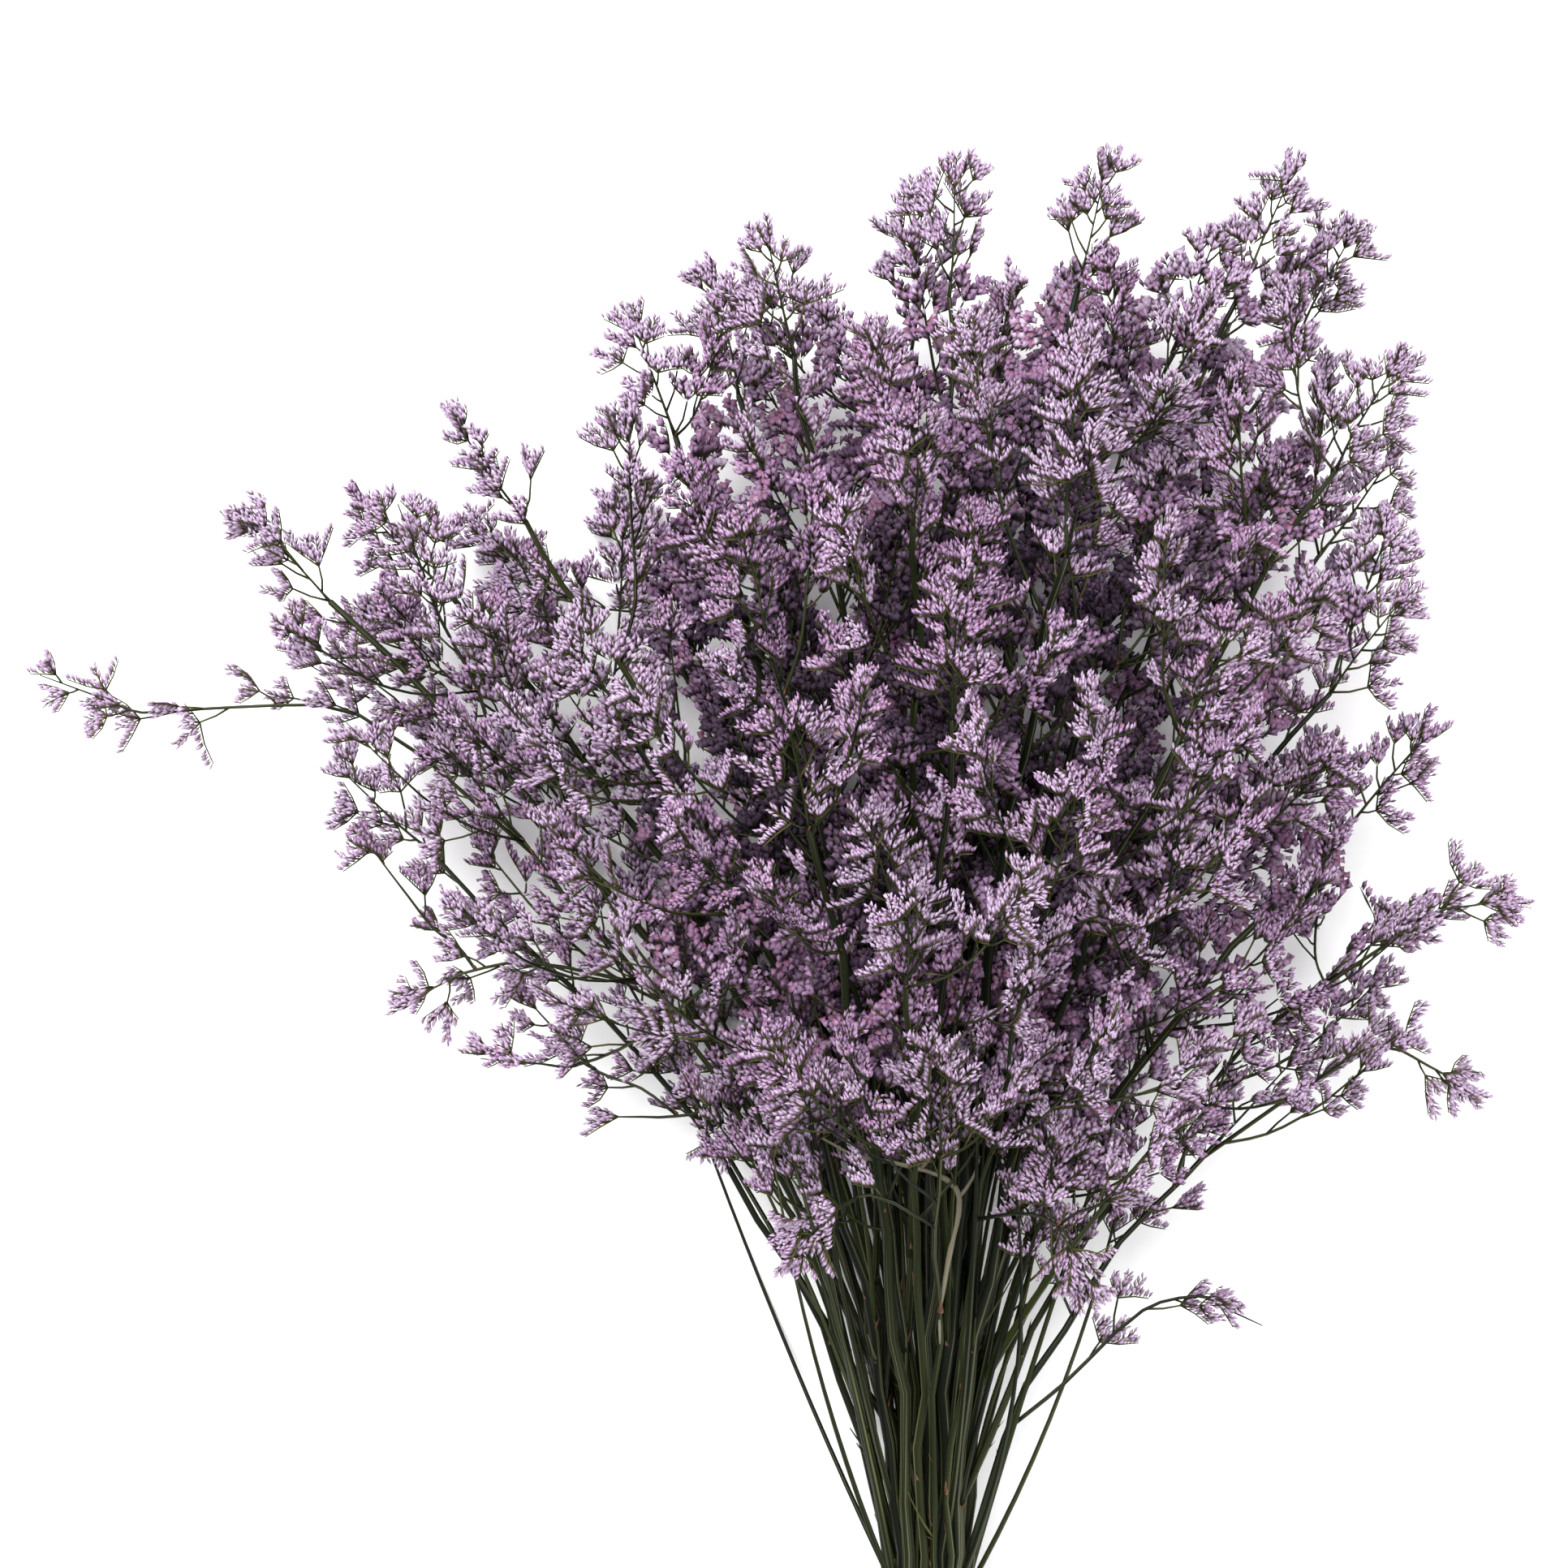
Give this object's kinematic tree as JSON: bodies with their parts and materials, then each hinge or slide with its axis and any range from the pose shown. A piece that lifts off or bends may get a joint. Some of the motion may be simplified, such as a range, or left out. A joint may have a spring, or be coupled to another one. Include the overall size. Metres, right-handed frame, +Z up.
{
  "type": "dried statice bunch",
  "caption": "Bunch of dried statice with branching green stems and lilac comb-like flower sprays, tied with twine and lying flat.",
  "frame": {"origin": "middle of the underside of the bunch's bounding box, on the surface that it lies on", "axes": "+Y along the stems, from the cut ends to the flowering tips; +Z up from the surface; +X across the bunch"},
  "size_m": [0.5538, 0.7096, 0.2093],
  "materials": {
    "dried_plant": "dry, matte, papery florets on green stems",
    "twine": "matte twisted jute fibre"
  },
  "bodies": {
    "root": {"spray_01": "dried_plant", "spray_02": "dried_plant", "spray_03": "dried_plant", "spray_04": "dried_plant", "spray_05": "dried_plant", "spray_06": "dried_plant", "spray_07": "dried_plant", "spray_08": "dried_plant", "spray_09": "dried_plant", "spray_10": "dried_plant", "spray_11": "dried_plant", "spray_12": "dried_plant", "spray_13": "dried_plant", "spray_14": "dried_plant", "spray_15": "dried_plant", "spray_16": "dried_plant", "spray_17": "dried_plant", "spray_18": "dried_plant", "spray_19": "dried_plant", "spray_20": "dried_plant", "spray_21": "dried_plant", "spray_22": "dried_plant", "spray_23": "dried_plant", "spray_24": "dried_plant", "spray_25": "dried_plant", "spray_26": "dried_plant", "spray_27": "dried_plant", "spray_28": "dried_plant", "spray_29": "dried_plant", "spray_30": "dried_plant", "spray_31": "dried_plant", "spray_32": "dried_plant", "spray_33": "dried_plant", "spray_34": "dried_plant", "spray_35": "dried_plant", "spray_36": "dried_plant", "spray_37": "dried_plant", "tie": "twine"}
  },
  "joints": []
}
